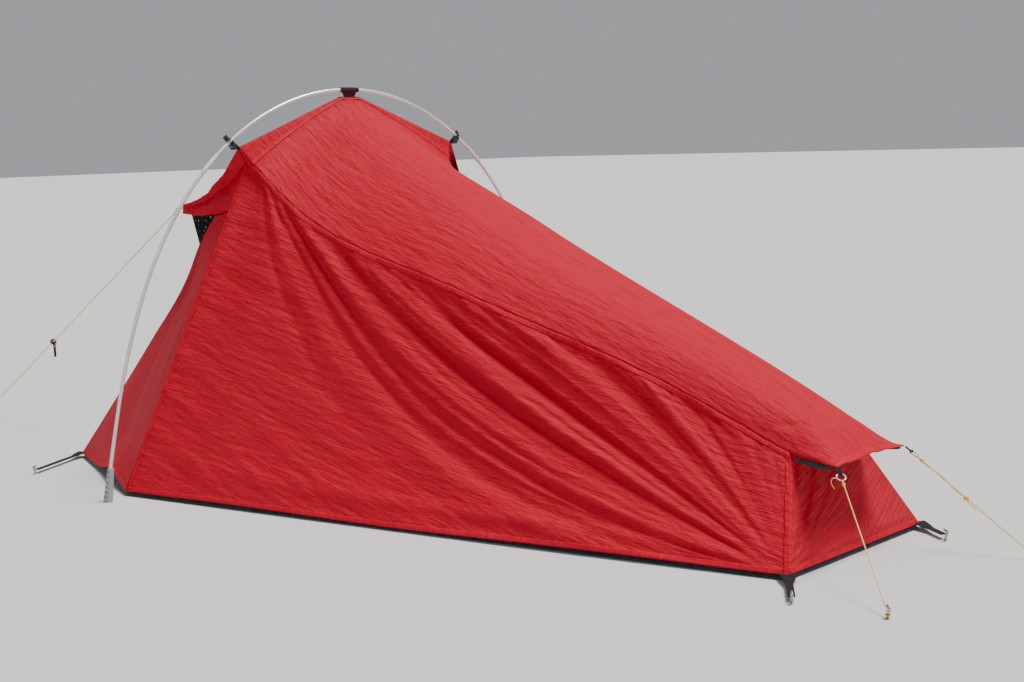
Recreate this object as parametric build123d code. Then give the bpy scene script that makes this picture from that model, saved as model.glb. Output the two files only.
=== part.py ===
from build123d import *
import os
from math import cos, pi, radians, sin, sqrt

os.makedirs("parts", exist_ok=True)

# One-person tent with a single hoop. Millimetres. +Z is up and the ground is z = 0.
# +X runs from the head end to the foot end, and the door is on the +Y side.
# "side" is -1 for the -Y half (near) and +1 for the +Y half (far).

# ---- driving dimensions ----
hoop_x = -611.69           # plane of the hoop; it centres the pitched tent on x = 0
hoop_height = 1050.0       # pole centreline at the crown
hoop_base = 12.0           # pole ends above the ground
hoop_end_angle = 79.0      # slope of the pole where it meets the ground, degrees
section_length = 526.0     # crown and leg sections; the foot sections are what is left
arc_count = 6              # tangent arcs that make each half of the hoop

pole_od = 9.5
pole_id = 7.9
ferrule_od = 7.6
ferrule_id = 5.0
ferrule_length = 90.0
sleeve_od = 12.0
sleeve_length = 68.0
shock_cord_d = 2.6

cloth = 2.0                # thickness of the canopy solids
seam = 3.0                 # what each cloth solid stays back from its seam line

apex_z = 1026.0            # canopy peak under the crown
shoulder = (0.0, 361.0, 855.0)      # canopy corner below each side clip
hoop_hem = (-20.0, 775.0, 30.0)     # canopy hem beside the pole foot
foot_hem = (1688.0, 252.0, 30.0)    # canopy corner at the ground, foot end
foot_top = (1603.0, 123.0, 226.0)   # upper corner of the foot end panel
awning_tip = (1722.0, 128.0, 216.0)
head_hem = (-560.0, 620.0, 30.0)    # canopy corner at the ground, head end
hood_root = (0.0, 410.0, 757.0)     # lower end of the hood on the hoop seam
hood_tip = (-200.0, 445.0, 741.0)
vent_sill = (-150.0, 430.0, 630.0)  # corner of the head vent

floor_wall = 26.0          # height of the groundsheet's turned-up edge
guy_d = 2.4                # guyline
strap_width = 15.0
strap_thick = 2.0


def at(x, y, z):
    """A point given from the hoop plane, in the part's frame."""
    return Vector(hoop_x + x, y, z)


def corner(point, side):
    x, y, z = point
    return at(x, side * y, z)


# ---- the hoop's curve: a bent rod, curved in proportion to its height above the ends ----
rod_k = sin(radians(hoop_end_angle) / 2)
rise = hoop_height - hoop_base
steps = 400
half_length = rise / (2 * rod_k) * sum(
    pi / 2 / steps / sqrt(1 - (rod_k * sin((i + 0.5) * pi / 2 / steps)) ** 2) for i in range(steps)
)
arc_length = half_length / arc_count


def hoop_arcs():
    """Tangent arcs from the crown to a pole end, as (y, z, slope, radius) at each start."""
    y, z, slope = 0.0, hoop_height, 0.0
    arcs = []
    for _ in range(arc_count):
        middle_z = z - sin(slope + 0.15) * arc_length / 2
        radius = rise**2 / (4 * rod_k**2 * (middle_z - hoop_base))
        arcs.append((y, z, slope, radius))
        turn = arc_length / radius
        y += radius * (sin(slope + turn) - sin(slope))
        z -= radius * (cos(slope) - cos(slope + turn))
        slope += turn
    return arcs


arcs = hoop_arcs()


def hoop_at(s):
    """Point, downward direction and inward direction of the pole at arc length s from the crown."""
    side = 1 if s >= 0 else -1
    index = min(int(abs(s) / arc_length), arc_count - 1)
    y, z, slope, radius = arcs[index]
    turn = (abs(s) - index * arc_length) / radius
    point = at(0, side * (y + radius * (sin(slope + turn) - sin(slope))),
               z - radius * (cos(slope) - cos(slope + turn)))
    angle = slope + turn
    along = Vector(0, side * cos(angle), -sin(angle))
    inward = Vector(0, -side * sin(angle), -cos(angle))
    return point, along, inward


def hoop_path(start, end):
    """The pole's centreline between two arc lengths on one side of the crown, or across it."""
    low, high = min(start, end), max(start, end)
    inner = [i * arc_length for i in range(-arc_count, arc_count + 1)]
    marks = [low] + [s for s in inner if low + 1 < s < high - 1] + [high]
    pieces = []
    for a, b in zip(marks, marks[1:]):
        pieces.append(ThreePointArc(hoop_at(a)[0], hoop_at((a + b) / 2)[0], hoop_at(b)[0]))
    return Wire([piece.edge() for piece in pieces])


def tube_on_hoop(start, end, outer_d, inner_d=0.0):
    path = hoop_path(start, end)
    plane = Plane(origin=path @ 0, z_dir=path % 0)
    ring = plane * Circle(outer_d / 2)
    if inner_d:
        ring -= plane * Circle(inner_d / 2)
    return sweep(ring, path=path)


# ---- cloth: a closed solid between an outer surface and the same surface set inward ----
def line(a, b):
    return lambda t: a + (b - a) * t


def polyline(points):
    """A curve through points, with t shared out by distance."""
    lengths = [(b - a).length for a, b in zip(points, points[1:])]
    total = sum(lengths)

    def curve(t):
        left = t * total
        for a, b, length in zip(points, points[1:], lengths):
            if left <= length or b is points[-1]:
                return a + (b - a) * min(left / length, 1)
            left -= length
    return curve


def ruled(first, second, crown=None):
    """A surface of straight rulings from one curve to the other, with an optional bulge."""
    def surface(u, v):
        point = first(u) * (1 - v) + second(u) * v
        return point + crown(u, v) if crown else point
    return surface


def grid_points(surface, columns, rows, u_range, v_range):
    us = [u_range[0] + (u_range[1] - u_range[0]) * i / columns for i in range(columns + 1)]
    vs = [v_range[0] + (v_range[1] - v_range[0]) * j / rows for j in range(rows + 1)]
    return [[surface(u, v) for v in vs] for u in us]


def cloth_solid(surface, columns, rows, outward, u_range=(0, 1), v_range=(0, 1), thick=cloth):
    """A faceted closed sheet. "outward" is any direction on the outer side of the surface."""
    outer = grid_points(surface, columns, rows, u_range, v_range)

    def normal(i, j):
        across = outer[min(i + 1, columns)][j] - outer[max(i - 1, 0)][j]
        up = outer[i][min(j + 1, rows)] - outer[i][max(j - 1, 0)]
        n = across.cross(up).normalized()
        return n if n.dot(outward) > 0 else n * -1

    inner = [[outer[i][j] - normal(i, j) * thick for j in range(rows + 1)] for i in range(columns + 1)]
    triangles = []
    for i in range(columns):
        for j in range(rows):
            for points in (outer, inner):
                a, b, c, d = points[i][j], points[i + 1][j], points[i + 1][j + 1], points[i][j + 1]
                triangles += [(a, b, c), (a, c, d)]
    rim = [(i, 0) for i in range(columns)] + [(columns, j) for j in range(rows)]
    rim += [(i, rows) for i in range(columns, 0, -1)] + [(0, j) for j in range(rows, 0, -1)]
    for (i, j), (m, n) in zip(rim, rim[1:] + rim[:1]):
        triangles += [(outer[i][j], outer[m][n], inner[m][n]), (outer[i][j], inner[m][n], inner[i][j])]
    return Solid(Shell([Face(Wire.make_polygon(points)) for points in triangles]))


def flat_plate(points, thick, outward):
    """A flat polygon given thickness on its inner side."""
    face = Face(Wire.make_polygon(points))
    normal = face.normal_at()
    away = normal * -1 if normal.dot(outward) > 0 else normal
    return extrude(face, amount=thick, dir=away)


def inset(points, distance):
    """A flat polygon drawn in by a distance all round."""
    middle = sum(points, Vector()) * (1 / len(points))
    moved = []
    count = len(points)
    for i, point in enumerate(points):
        before = (points[i - 1] - point).normalized()
        after = (points[(i + 1) % count] - point).normalized()
        half = before.get_angle(after) / 2
        moved.append(point + (before + after).normalized() * (distance / sin(radians(half))))
    assert all((p - middle).length < (q - middle).length for p, q in zip(moved, points))
    return moved


def rod(start, end, diameter):
    direction = end - start
    return extrude(Plane(origin=start, z_dir=direction) * Circle(diameter / 2), amount=direction.length)


def strap(start, end, width, thick, width_dir):
    """Webbing between two points, its width along width_dir."""
    direction = end - start
    plane = Plane(origin=start, x_dir=width_dir, z_dir=direction)
    return extrude(plane * Rectangle(width, thick), amount=direction.length)


def spot(surface, u, v, outward):
    """A point on a surface and the unit normal there."""
    here = surface(u, v)
    normal = (surface(u + 0.01, v) - here).cross(surface(u, v + 0.01) - here).normalized()
    return here, normal if normal.dot(outward) > 0 else normal * -1


parts = {}
names = {-1: "near", 1: "far"}
sides = (-1, 1)
up = Vector(0, 0, 1)

# ---- the pole: six tube sections on an elastic cord, with a tip at each end ----
tip_length = 10.0
pole_end = half_length - tip_length
for side in sides:
    marks = {"crown": (0, section_length), "leg": (section_length, 2 * section_length)}
    marks["foot"] = (2 * section_length, pole_end)
    for place, (start, end) in marks.items():
        parts[f"pole_{place}_{names[side]}"] = tube_on_hoop(side * start, side * end, pole_od, pole_id)


def pole_tip(side):
    collar = tube_on_hoop(side * pole_end, side * (pole_end + 4), pole_od)
    plug = tube_on_hoop(side * (pole_end - 25), side * pole_end, pole_id - 0.3)
    pin = tube_on_hoop(side * (pole_end + 4), side * half_length, 5.5)
    return collar + plug + pin


parts["pole_tips"] = Compound(children=[pole_tip(side) for side in sides])
parts["pole_ferrules"] = Compound(children=[
    tube_on_hoop(i * section_length - ferrule_length / 2, i * section_length + ferrule_length / 2,
                 ferrule_od, ferrule_id) for i in range(-2, 3)])
parts["pole_sleeves"] = Compound(children=[
    tube_on_hoop(side * section_length - sleeve_length / 2, side * section_length + sleeve_length / 2,
                 sleeve_od, pole_od + 0.1) for side in sides])
elastic_end = pole_end - 27
parts["shock_cord"] = tube_on_hoop(-elastic_end, elastic_end, shock_cord_d)

# ---- the webbing boot that each pole end stands in ----
boot_height = 85.0
boot_foot = (27.0, 17.0)
boot_mouth = (15.0, 14.5)
for side in sides:
    foot_point = hoop_at(side * half_length)[0]
    top_point = hoop_at(side * (half_length - boot_height + hoop_base))[0]
    bottom = Plane(origin=(foot_point.X, foot_point.Y, 0)) * RectangleRounded(*boot_foot, 5)
    mouth = Plane(origin=(top_point.X, top_point.Y, boot_height)) * RectangleRounded(*boot_mouth, 5)
    socket = tube_on_hoop(side * (half_length - 130), side * (half_length + 0.4), pole_od + 0.6)
    parts[f"pole_boot_{names[side]}"] = loft([bottom, mouth]) - socket

# ---- side clips: a hook round the pole, sewn to the shoulder by a loop of webbing ----
clip_s = 440.0             # along the pole from the crown
clip_width = 13.0
hook_outer = 9.0
hook_inner = pole_od / 2 + 0.3
slot_depth = 18.5          # from the pole to the webbing slot


def side_clip(side):
    point, along, inward = hoop_at(side * clip_s)
    plane = Plane(origin=point - along * clip_width / 2, x_dir=(1, 0, 0), z_dir=along)
    facing = 1 if plane.y_dir.dot(inward) > 0 else -1
    mouth = Pos(12, -3 * facing) * Rectangle(18, 6.4)
    ear = Pos(-7.2, -12 * facing) * Rectangle(3.2, 14)
    stem = Pos(0, (slot_depth - 3) * facing) * Rectangle(19, 15)
    slot = Pos(0, slot_depth * facing) * Rectangle(strap_width + 1, 3.4)
    outline = Circle(hook_outer) - mouth + ear + stem - slot - Circle(hook_inner)
    return extrude(plane * outline, amount=clip_width)


def clip_tab(side):
    point, along, inward = hoop_at(side * clip_s)
    slot = point + inward * slot_depth
    end = slot + (corner(shoulder, side) + Vector(0, side * 3, 6) - slot) * 0.93
    reach = along * (clip_width / 2 + 3)
    width_dir = Vector(1, 0, 0)
    loop = strap(slot - reach - along, slot + reach + along, strap_width, strap_thick, width_dir)
    for turn in (-1, 1):
        loop += strap(slot + reach * turn, end, strap_width, strap_thick, width_dir)
    return loop


for side in sides:
    parts[f"side_clip_{names[side]}"] = side_clip(side)
parts["clip_tabs"] = Compound(children=[clip_tab(side) for side in sides])

# ---- crown tab: a webbing sleeve on the pole with a web down to the peak ----
crown_width = 64.0
crown_inner = pole_od + 0.6
crown_sleeve = tube_on_hoop(-crown_width / 2, crown_width / 2, crown_inner + 3.2, crown_inner)
web_low = apex_z + 3 - hoop_height
web = Polygon((-26, -6.2), (26, -6.2), (18, web_low), (-18, web_low), align=None)
web_plane = Plane(origin=at(0, 0, hoop_height), x_dir=(0, 1, 0), z_dir=(1, 0, 0))
parts["crown_tab"] = crown_sleeve + extrude(web_plane * web, amount=1.2, both=True)

# ---- the roof, crowned between its two side seams ----
dip = (170.0, 335.0, 735.0)          # the seam drops steeply beside the shoulder
middle = (750.0, 250.0, 527.0)
low = (1300.0, 155.0, 347.0)


def roof_seam(side):
    return polyline([corner(p, side) for p in (shoulder, dip, middle, low, foot_top)])


def roof_surface(u, v):
    """u from the hoop to the foot, v from the near seam to the far one."""
    near, far = roof_seam(-1)(u), roof_seam(1)(u)
    ridge = apex_z + (foot_top[2] + 22 - apex_z) * u
    across = abs(2 * v - 1)
    sharp = 1 + 1.5 * min(u / 0.4, 1)
    flat = near + (far - near) * v
    return Vector(flat.X, flat.Y, ridge + (near.Z - ridge) * across**sharp)


def margin(length):
    return seam / length, 1 - seam / length


parts["roof_panel"] = cloth_solid(roof_surface, 10, 8, up, margin(1750), margin(500))

# ---- side panels: the near one is whole, the far one holds the door ----
near_side = ruled(roof_seam(-1), line(corner(hoop_hem, -1), corner(foot_hem, -1)))
parts["side_panel_near"] = cloth_solid(near_side, 8, 3, Vector(0, -1, 0.4), margin(1800), margin(500))

door_top_t = 0.05          # along the roof seam from the shoulder
door_left_t = 0.055        # along the hem from the hoop
door_right_t = 0.47
outward_far = Vector(0.2, 0.9, 0.4)
seam_far = line(corner(shoulder, 1), corner(hoop_hem, 1))
hem_far = line(corner(hoop_hem, 1), corner(foot_hem, 1))
door_top = roof_seam(1)(door_top_t) + Vector(0, 6, -14)
door_left = hem_far(door_left_t)
door_right = hem_far(door_right_t)
door_outline = inset([door_top, door_left, door_right], 2 * seam)
parts["door_panel"] = flat_plate(door_outline, cloth, outward_far)

strip = ruled(seam_far, line(door_top, door_left))
parts["side_strip_far"] = cloth_solid(strip, 5, 1, outward_far, (0.06, 0.995), (0.07, 0.95))
below_seam = polyline([door_top, door_right, corner(foot_hem, 1)])
rear = ruled(lambda t: roof_seam(1)(door_top_t + (1 - door_top_t) * t), below_seam)
parts["side_panel_far"] = cloth_solid(rear, 10, 3, outward_far, (0.05, 0.998), (0.02, 0.985))

# ---- head end: two flanks, a sloping wall, and the vent under its hood ----
wall_edge_middle = (-330.0, 500.0, 350.0)


def wall_edge(side):
    return polyline([corner(p, side) for p in (vent_sill, wall_edge_middle, head_hem)])


for side in sides:
    flank = ruled(line(corner(hood_root, side), corner(hoop_hem, side)), wall_edge(side))
    parts[f"head_flank_{names[side]}"] = cloth_solid(
        flank, 6, 3, Vector(-0.3, side, 0.3), margin(760), (0.012, 0.988))
wall = ruled(wall_edge(-1), wall_edge(1))
parts["head_wall"] = cloth_solid(wall, 6, 3, Vector(-1, 0, 0.5), margin(750), margin(860))

peak = at(0, 0, apex_z)
hood_back = polyline([corner(shoulder, -1), peak, corner(shoulder, 1)])
hood_front = line(corner(hood_tip, -1), corner(hood_tip, 1))
sill = line(corner(vent_sill, -1), corner(vent_sill, 1))
parts["hood_top"] = cloth_solid(
    ruled(hood_back, hood_front), 6, 3, Vector(-1, 0, 1), margin(900), (0.02, 0.985)
)
parts["vent_mesh"] = cloth_solid(
    ruled(hood_front, sill), 4, 1, Vector(-1, 0, 0), margin(880), (0.05, 0.95), thick=1.2)
for side in sides:
    root, tip = corner(hood_root, side), corner(hood_tip, side)
    gore = inset([corner(shoulder, side), root, tip], seam)
    parts[f"hood_gore_{names[side]}"] = flat_plate(gore, cloth, Vector(-0.2, side, 0.1))
    gusset = inset([tip, root, corner(vent_sill, side)], seam)
    parts[f"vent_gusset_{names[side]}"] = flat_plate(gusset, 1.2, Vector(-0.2, side, -0.1))

# ---- foot end: an upright panel under an awning, with mesh at the awning's ends ----
foot_wall = ruled(line(corner(foot_top, -1), corner(foot_top, 1)),
                  line(corner(foot_hem, -1), corner(foot_hem, 1)))
parts["foot_panel"] = cloth_solid(foot_wall, 4, 2, Vector(1, 0, 0.3), margin(260), (0.03, 0.985))


def awning_surface(u, v):
    """The roof carried on past the foot panel to its two held corners."""
    back = at(foot_top[0] + 6, (2 * u - 1) * foot_top[1], foot_top[2])
    front = line(corner(awning_tip, -1), corner(awning_tip, 1))(u)
    arch = 1 - (2 * u - 1) ** 2
    return back * (1 - v) + front * v + Vector(-14 * v, 0, 22 * (1 - v) + 5 * v) * arch


parts["foot_awning"] = cloth_solid(awning_surface, 6, 3, up, (0.005, 0.995), (0.02, 1.0))
for side in sides:
    back_top = corner(foot_top, side) + Vector(8, -side * 4, -5)
    front_top = corner(awning_tip, side) + Vector(-6, -side * 5, -5)
    low_point = corner(foot_top, side) + Vector(14, -side * 1, -24)
    gusset = flat_plate([back_top, front_top, low_point], 1.2, Vector(0, side, 0))
    parts[f"foot_gusset_{names[side]}"] = gusset

# ---- groundsheet: a shallow tray ----
floor_thick = 2.0
floor_inset = 8.0          # inside the hem of the canopy
outline = [(hoop_x + x, -(y - floor_inset)) for x, y, _ in (foot_hem, hoop_hem, head_hem)]
outline += [(x, -y) for x, y in reversed(outline)]
tray = make_face(Polyline(*outline, close=True))
hollow = offset(tray, amount=-floor_thick, kind=Kind.INTERSECTION)
parts["groundsheet"] = extrude(tray, floor_wall) - Pos(0, 0, floor_thick) * extrude(hollow, floor_wall)

# ---- corner webbing and pegs ----
peg_d = 6.0
peg_height = 22.0          # what stands above the ground
strap_height = 12.0


def peg_stem(point, lean):
    """Lower and upper end of the leaning stem, above the ground."""
    return point + up * 1.2, point + lean * 8 + up * peg_height


def peg(point, lean):
    """The head of a peg that is driven into the ground, with its end bent over as a hook."""
    foot, top = peg_stem(point, lean)
    bent = top - lean * 12 + up
    return rod(foot, top, peg_d) + Pos(*top) * Sphere(peg_d / 2) + rod(top, bent, peg_d * 0.8)


def corner_strap(hem_point, side, peg_point):
    start = corner(hem_point, side)
    start = Vector(start.X, start.Y, strap_height)
    end = peg_point + up * strap_height
    outward = (end - start).normalized()
    return strap(start + outward * 4, end - outward * 6, strap_width, strap_thick, outward.cross(up)), outward


corner_pegs = []
peg_places = {
    "foot": (foot_hem, {-1: at(1772, -360, 0), 1: at(1778, 205, 0)}),
    "head": (head_hem, {-1: at(-455, -816, 0), 1: at(-455, 816, 0)}),
}
for place, (hem_point, peg_points) in peg_places.items():
    straps = []
    for side, peg_point in peg_points.items():
        webbing, outward = corner_strap(hem_point, side, peg_point)
        straps.append(webbing)
        corner_pegs.append(peg(peg_point, outward))
    parts[f"{place}_straps"] = Compound(children=straps)
parts["corner_pegs"] = Compound(children=corner_pegs)

# ---- the door's zip, its slider and pull, and the toggle that holds the door open ----
chain_width, chain_thick = 6.0, 2.4
zip_v = 0.84               # across the strip, from the hoop seam
zip_lift = 4.2             # chain centre above the cloth
zip_top, zip_normal = spot(strip, 0.10, zip_v, outward_far)
zip_low = strip(0.985, zip_v)
zip_dir = (zip_low - zip_top).normalized()
zip_across = zip_dir.cross(zip_normal).normalized()
chain_top = zip_top + zip_normal * zip_lift
chain_low = zip_low + zip_normal * zip_lift
parts["zip_chain"] = strap(chain_top, chain_low, chain_width, chain_thick, zip_across)

slider_length = 14.0
slider_rest = 24.0         # slider's upper end above the chain's lower end
slider_half = 2.8
pin_lift = 4.8             # pull's pin above the chain centre
pin_d = 1.2
slider_top = chain_low - zip_dir * slider_rest
slider_plane = Plane(origin=slider_top, x_dir=zip_across, z_dir=zip_dir)
face_out = 1 if slider_plane.y_dir.dot(zip_normal) > 0 else -1
channel = Rectangle(chain_width + 0.8, chain_thick + 0.8)
slider = extrude(slider_plane * (Rectangle(10, 2 * slider_half) - channel), amount=slider_length)
pin_point = slider_top + zip_dir * 3 + zip_normal * pin_lift
for lug_side in sides:
    lug = Pos(lug_side * 2.7, face_out * (slider_half + 1.9)) * Rectangle(1.6, 4.2)
    slider += extrude(slider_plane * lug, amount=6)
across_plane = Plane(origin=pin_point - zip_across * 3.5, x_dir=zip_dir, z_dir=zip_across)
slider -= extrude(Plane(origin=pin_point - zip_across * 5, x_dir=zip_dir, z_dir=zip_across)
                  * Circle(pin_d / 2 + 0.06), amount=10)
parts["zip_slider"] = slider
pull_thick = 1.2
pull_length = 26.0
pull_plane = Plane(origin=pin_point - zip_normal * pull_thick / 2, x_dir=zip_dir, z_dir=zip_normal)
neck = Pos(4.5, 0) * Rectangle(9, 2.8)
paddle = Pos(pull_length / 2 + 4, 0) * RectangleRounded(pull_length - 8, 7, 3)
pull = extrude(pull_plane * (neck + paddle), amount=pull_thick)
pull += extrude(across_plane * Circle(pin_d / 2), amount=7)
eyelet_plane = Plane(origin=pin_point - zip_across * 1.4, x_dir=zip_dir, z_dir=zip_across)
pull += extrude(eyelet_plane * Circle(1.3), amount=2.8)
parts["zip_pull"] = pull

toggle_point, toggle_normal = spot(rear, 0.16, 0.72, outward_far)
toggle_run = Vector(1, 0, -0.4).cross(toggle_normal).cross(toggle_normal).normalized() * -1
toggle_across = toggle_run.cross(toggle_normal)
webbing_at = toggle_point + toggle_normal * 6
parts["tie_back_webbing"] = strap(webbing_at, webbing_at + toggle_run * 40, 10, 1.2, toggle_across)
barrel_at = webbing_at + toggle_run * 45.5
parts["tie_back_toggle"] = rod(barrel_at - toggle_across * 12, barrel_at + toggle_across * 12, 8)

# ---- guylines: three taut lines, each from a held corner of the canopy to its peg ----
wire_d = 2.4
ring_radius = 9.0          # to the middle of the wire
tab_length = 16.0
tab_width = 8.0
knot_d = 7.0
knot_length = 8.0
guys = {
    "head": (corner(hood_tip, -1), at(-1540, -470, 0)),
    "foot_near": (corner(awning_tip, -1), at(1950, -314, 0)),
    "foot_far": (corner(awning_tip, 1), at(1985, 190, 0)),
}
tie_height = 7.0           # where a line goes round its peg


def webbing_tab(start, along, across):
    """A short webbing tab whose end is sewn round a ring."""
    eye = start + along * tab_length
    tab = strap(start, eye - along * 2, tab_width, 1.4, across)
    tab += rod(eye - across * tab_width / 2, eye + across * tab_width / 2, 6.4)
    return tab - rod(eye - across * tab_width, eye + across * tab_width, 3.6)


def ring(start, along, across):
    """The ring in the end of a tab. Its wire curves through the tab's straight eye."""
    middle = start + along * (tab_length + ring_radius - 0.45)
    return Plane(origin=middle, z_dir=along.cross(across)) * Torus(ring_radius, wire_d / 2)


def knot(middle, along, bore_d):
    """A stopper knot as a rounded barrel on the line."""
    end = along * knot_length / 2
    barrel = rod(middle - end, middle + end, knot_d)
    barrel = fillet(barrel.edges().filter_by(GeomType.CIRCLE), 2.0)
    return barrel - rod(middle - end * 2, middle + end * 2, bore_d)


tabs, rings, knots, loops, pegs = [], [], [], [], []
for name, (tip, peg_point) in guys.items():
    lean = Vector(peg_point.X - tip.X, peg_point.Y - tip.Y, 0).normalized()
    foot, top = peg_stem(peg_point, lean)
    tie = foot + (top - foot) * (tie_height / peg_height)
    along = (tie - tip).normalized()
    across = along.cross(up).normalized()
    start = tip + along * 3
    tabs.append(webbing_tab(start, along, across))
    rings.append(ring(start, along, across))
    line_start = start + along * (tab_length + 2 * ring_radius - 0.45 + wire_d / 2)
    line_end = tie - along * (peg_d / 2 + 0.6)
    run = rod(line_start, line_end, guy_d)
    print("guyline", name, "length", round((line_end - line_start).length, 1), "mm, straight")
    print("  volume against section times length",
          round(run.volume / ((line_end - line_start).length * pi * guy_d**2 / 4), 4))
    parts[f"guyline_{name}"] = run
    knots.append(knot(line_start + along * 9, along, guy_d))
    loop = Plane(origin=tie, z_dir=top - foot) * Torus(peg_d / 2 + guy_d / 2 + 0.1, guy_d / 2)
    loops.append(loop - rod(line_start, line_end, guy_d))
    pegs.append(peg(peg_point, lean))
    if name == "head":
        head_line = (line_start, line_end, along, across)
far_tip = corner(hood_tip, 1)
far_along = Vector(-0.9, 0.1, -0.45).normalized()
far_across = far_along.cross(up).normalized()
tabs.append(webbing_tab(far_tip + far_along * 3, far_along, far_across))
rings.append(ring(far_tip + far_along * 3, far_along, far_across))
parts["guy_tabs"] = Compound(children=tabs)
parts["guy_rings"] = Compound(children=rings)
parts["guyline_knots"] = Compound(children=knots)
parts["guyline_loops"] = Compound(children=loops)
parts["guyline_pegs"] = Compound(children=pegs)

# tensioner on the head guyline, with the short tail that is pulled to slide it
tensioner_share = 0.61     # along the line from the hood
tensioner_d = 20.0
tensioner_thick = 6.0
line_start, line_end, along, across = head_line
seat = line_start + (line_end - line_start) * tensioner_share
bore = rod(seat - along * 30, seat + along * 30, guy_d + 0.6)
hang = (up * -1 + along * along.dot(up)).normalized()
disc = rod(seat - along * tensioner_thick / 2, seat + along * tensioner_thick / 2, tensioner_d)
eye_at = seat + hang * (tensioner_d / 2 + 2.6)
eye = rod(eye_at - across * 3, eye_at + across * 3, 6)
eye_hole = rod(eye_at - across * 4, eye_at + across * 4, 2.2)
parts["tensioner"] = disc + eye - bore - eye_hole
parts["tensioner_knot"] = knot(seat - along * (tensioner_thick / 2 + 5), along, guy_d + 0.6)
tail_length = 38.0
tail_width = 8.0
tail_top = eye_at - up * 4.8
tail = strap(tail_top, tail_top - up * (tail_length - 4.5), tail_width, 1.2, across)
tail_pin = rod(eye_at - across * 4.8, eye_at + across * 4.8, 2.0)
for end in sides:
    cheek = eye_at + across * 4.0 * end
    tail += strap(cheek + up * 1.4, cheek - up * 5.6, 1.4, 2.8, across)
parts["tensioner_tail"] = tail + tail_pin

for name, shape in parts.items():
    export_step(shape, f"parts/{name}.step")

everything = Compound(children=[shape for name, shape in parts.items() if "guyline" not in name
                                and not name.startswith("tensioner")])
box = everything.bounding_box()
print("nodes", len(parts))
print("box", [round(v, 2) for v in (box.min.X, box.max.X, box.min.Y, box.max.Y, box.min.Z, box.max.Z)])


def told(point):
    return [round(v / 1000, 5) for v in point]


print("door hinge", told(door_top), told((door_top - door_right).normalized() * 1000))
zip_length = round((chain_low - chain_top).length, 1)
print("zip slide", told(slider_top), told(zip_dir * -1000), "length", zip_length)
print("pull hinge", told(pin_point), told(zip_across * 1000))
print("tensioner slide", told(seat), told(along * 1000))
print("tail hinge", told(eye_at), told(across * 1000))
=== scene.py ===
from math import cos, pi, radians, sin

import bpy
import numpy as np
from mathutils import Matrix, Vector


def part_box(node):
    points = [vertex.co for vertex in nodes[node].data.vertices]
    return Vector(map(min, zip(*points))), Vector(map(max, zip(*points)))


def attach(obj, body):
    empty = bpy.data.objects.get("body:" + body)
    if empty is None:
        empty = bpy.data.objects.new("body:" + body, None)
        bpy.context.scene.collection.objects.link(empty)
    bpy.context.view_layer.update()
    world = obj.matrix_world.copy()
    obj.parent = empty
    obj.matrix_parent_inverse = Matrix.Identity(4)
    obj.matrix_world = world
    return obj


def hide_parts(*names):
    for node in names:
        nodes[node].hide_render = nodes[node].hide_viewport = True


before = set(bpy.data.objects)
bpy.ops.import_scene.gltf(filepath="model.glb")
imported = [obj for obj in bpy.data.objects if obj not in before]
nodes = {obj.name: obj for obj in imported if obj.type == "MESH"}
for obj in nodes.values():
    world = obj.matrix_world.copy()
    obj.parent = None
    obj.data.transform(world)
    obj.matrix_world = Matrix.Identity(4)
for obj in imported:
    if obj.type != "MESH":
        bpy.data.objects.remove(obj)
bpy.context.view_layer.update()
bpy.ops.object.select_all(action="DESELECT")

# ---------------------------------------------------------------------------------------------
# The hoop: six alloy tube sections on an elastic cord, with alloy ferrules inside the joints,
# a pale sleeve over each shoulder joint and a tip at each end. Polished tube, faintly scuffed.

crown_low, crown_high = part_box("pole_crown_near")
hoop_x = (crown_low.x + crown_high.x) / 2
NEAR, FAR = -1, 1
both_sides = ((NEAR, "near"), (FAR, "far"))


def add(tree, kind, **settings):
    """A shader node with its properties and input values set."""
    node = tree.nodes.new(kind)
    for key, value in settings.items():
        if key.startswith("in_"):
            name = key[3:].replace("_", " ")
            node.inputs[int(name) if name.isdigit() else name].default_value = value
        else:
            setattr(node, key, value)
    return node


def finish(name, colour, roughness, metallic=0.0, **more):
    """A new material, as (material, node tree, its shader)."""
    material = bpy.data.materials.new(name)
    material.use_nodes = True
    tree = material.node_tree
    shader = tree.nodes["Principled BSDF"]
    shader.inputs["Base Color"].default_value = (*colour, 1)
    shader.inputs["Roughness"].default_value = roughness
    shader.inputs["Metallic"].default_value = metallic
    for key, value in more.items():
        shader.inputs[key.replace("_", " ")].default_value = value
    return material, tree, shader


def place(tree, scale=(1, 1, 1), turn=(0, 0, 0), uv=None):
    """Coordinates for a pattern: the object's own, or one of its UV maps."""
    if uv:
        source = add(tree, "ShaderNodeUVMap", uv_map=uv).outputs["UV"]
    else:
        source = add(tree, "ShaderNodeTexCoord").outputs["Object"]
    mapping = add(tree, "ShaderNodeMapping")
    mapping.inputs["Scale"].default_value = scale
    mapping.inputs["Rotation"].default_value = turn
    tree.links.new(source, mapping.inputs["Vector"])
    return mapping.outputs["Vector"]


def ramp(tree, source, stops):
    """A colour ramp over a 0 to 1 value, from (position, colour) stops."""
    node = add(tree, "ShaderNodeValToRGB")
    elements = node.color_ramp.elements
    while len(elements) < len(stops):
        elements.new(0.5)
    for element, (position, colour) in zip(elements, stops):
        element.position = position
        element.color = (*colour, 1) if len(colour) == 3 else colour
    tree.links.new(source, node.inputs["Fac"])
    return node.outputs["Color"]


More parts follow.
